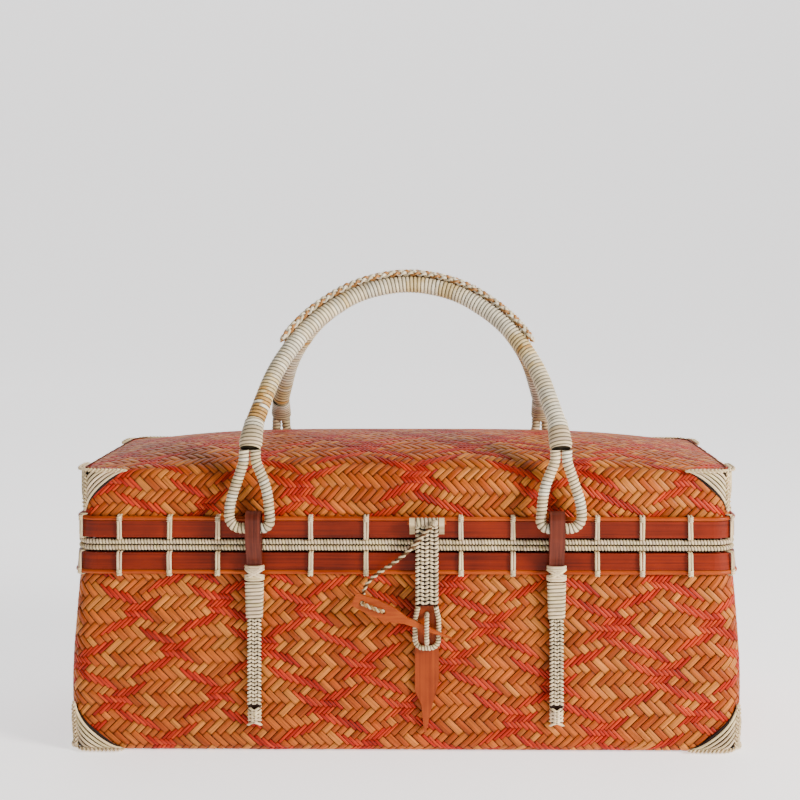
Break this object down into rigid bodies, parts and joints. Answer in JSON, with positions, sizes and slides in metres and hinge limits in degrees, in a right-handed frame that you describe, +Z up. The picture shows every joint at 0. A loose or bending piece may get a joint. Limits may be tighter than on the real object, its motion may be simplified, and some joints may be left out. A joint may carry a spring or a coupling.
{
  "type": "basket box bag",
  "caption": "Rectangular woven cane box bag with a hinged domed lid, two swinging wrapped bow handles in strap loops, and a tab-and-staple clasp locked by a tethered peg.",
  "frame": {"origin": "centre of the flat woven underside, on the surface the bag stands on", "axes": "+X along the bag's length, -Y towards the clasp and the viewer, +Z up through the lid"},
  "size_m": [0.3792, 0.1756, 0.2693],
  "materials": {
    "woven_cane": "satin",
    "bamboo_band": "satin",
    "red_rod": "satin",
    "strap_strip": "satin",
    "strap_plait": "satin",
    "handle_wrap": "satin",
    "tether_cord": "matte",
    "cream_cane": "satin"
  },
  "bodies": {
    "basket": {"body_corner_lashing_back_left": "cream_cane", "body_corner_lashing_back_right": "cream_cane", "body_corner_lashing_front_left": "cream_cane", "body_corner_lashing_front_right": "cream_cane", "body_edge_coil": "cream_cane", "body_rim_band": "bamboo_band", "body_rim_lining": "bamboo_band", "body_rim_rod": "red_rod", "body_rim_ties": "cream_cane", "body_shell": "woven_cane", "clasp_staple": "cream_cane", "clasp_tongue": "bamboo_band", "hinge_body_eyelets": "cream_cane", "hinge_rods": "red_rod", "strap_binding_back_left": "cream_cane", "strap_binding_back_right": "cream_cane", "strap_binding_front_left": "cream_cane", "strap_binding_front_right": "cream_cane", "strap_fold_back_left": "strap_strip", "strap_fold_back_right": "strap_strip", "strap_fold_front_left": "strap_strip", "strap_fold_front_right": "strap_strip", "strap_plait_back_left": "strap_plait", "strap_plait_back_right": "strap_plait", "strap_plait_front_left": "strap_plait", "strap_plait_front_right": "strap_plait"},
    "lid": {"clasp_pin": "red_rod", "clasp_pin_eyelets": "cream_cane", "hinge_lid_eyelets": "cream_cane", "lid_corner_lashing_back_left": "cream_cane", "lid_corner_lashing_back_right": "cream_cane", "lid_corner_lashing_front_left": "cream_cane", "lid_corner_lashing_front_right": "cream_cane", "lid_edge_coil": "cream_cane", "lid_rim_band": "bamboo_band", "lid_rim_lining": "bamboo_band", "lid_rim_rod": "red_rod", "lid_rim_ties": "cream_cane", "lid_shell": "woven_cane"},
    "front_handle": {"front_handle_bow": "handle_wrap", "front_handle_fork_binding_left": "handle_wrap", "front_handle_fork_binding_right": "handle_wrap", "front_handle_ridge_plait": "handle_wrap", "front_handle_ring_left": "handle_wrap", "front_handle_ring_right": "handle_wrap"},
    "back_handle": {"back_handle_bow": "handle_wrap", "back_handle_fork_binding_left": "handle_wrap", "back_handle_fork_binding_right": "handle_wrap", "back_handle_ridge_plait": "handle_wrap", "back_handle_ring_left": "handle_wrap", "back_handle_ring_right": "handle_wrap"},
    "clasp_tab": {"clasp_tab": "cream_cane", "clasp_tab_loop": "cream_cane", "clasp_tether_bead": "tether_cord", "clasp_tether": "tether_cord"},
    "clasp_peg": {"clasp_peg": "bamboo_band", "clasp_peg_lacing": "tether_cord"}
  },
  "joints": [
    {"name": "lid_hinge", "type": "hinge", "parent": "basket", "child": "lid", "pos_m": [0, 0.0805, 0.116], "axis": [-1, 0, 0], "range_deg": [0, 100], "deforming": ["clasp_staple"]},
    {"name": "front_handle_swing", "type": "hinge", "parent": "basket", "child": "front_handle", "pos_m": [0, -0.0825, 0.127], "axis": [1, 0, 0], "range_deg": [0, 130]},
    {"name": "back_handle_swing", "type": "hinge", "parent": "basket", "child": "back_handle", "pos_m": [0, 0.0825, 0.1035], "axis": [-1, 0, 0], "range_deg": [0, 130]},
    {"name": "clasp_tab_hinge", "type": "hinge", "parent": "lid", "child": "clasp_tab", "pos_m": [0.012, -0.08085, 0.13], "axis": [-1, 0, 0], "range_deg": [0, 100], "deforming": ["clasp_staple"]},
    {"name": "clasp_peg_slide", "type": "slide", "parent": "clasp_tab", "child": "clasp_peg", "axis": [-0.9298, 0, 0.3681], "range_m": [0, 0.018], "deforming": ["clasp_tether"]}
  ],
  "couplings": [
    {"joint": "front_handle_swing", "follows": "lid_hinge", "ratio": 1.3},
    {"joint": "back_handle_swing", "follows": "lid_hinge", "ratio": 1.3}
  ]
}
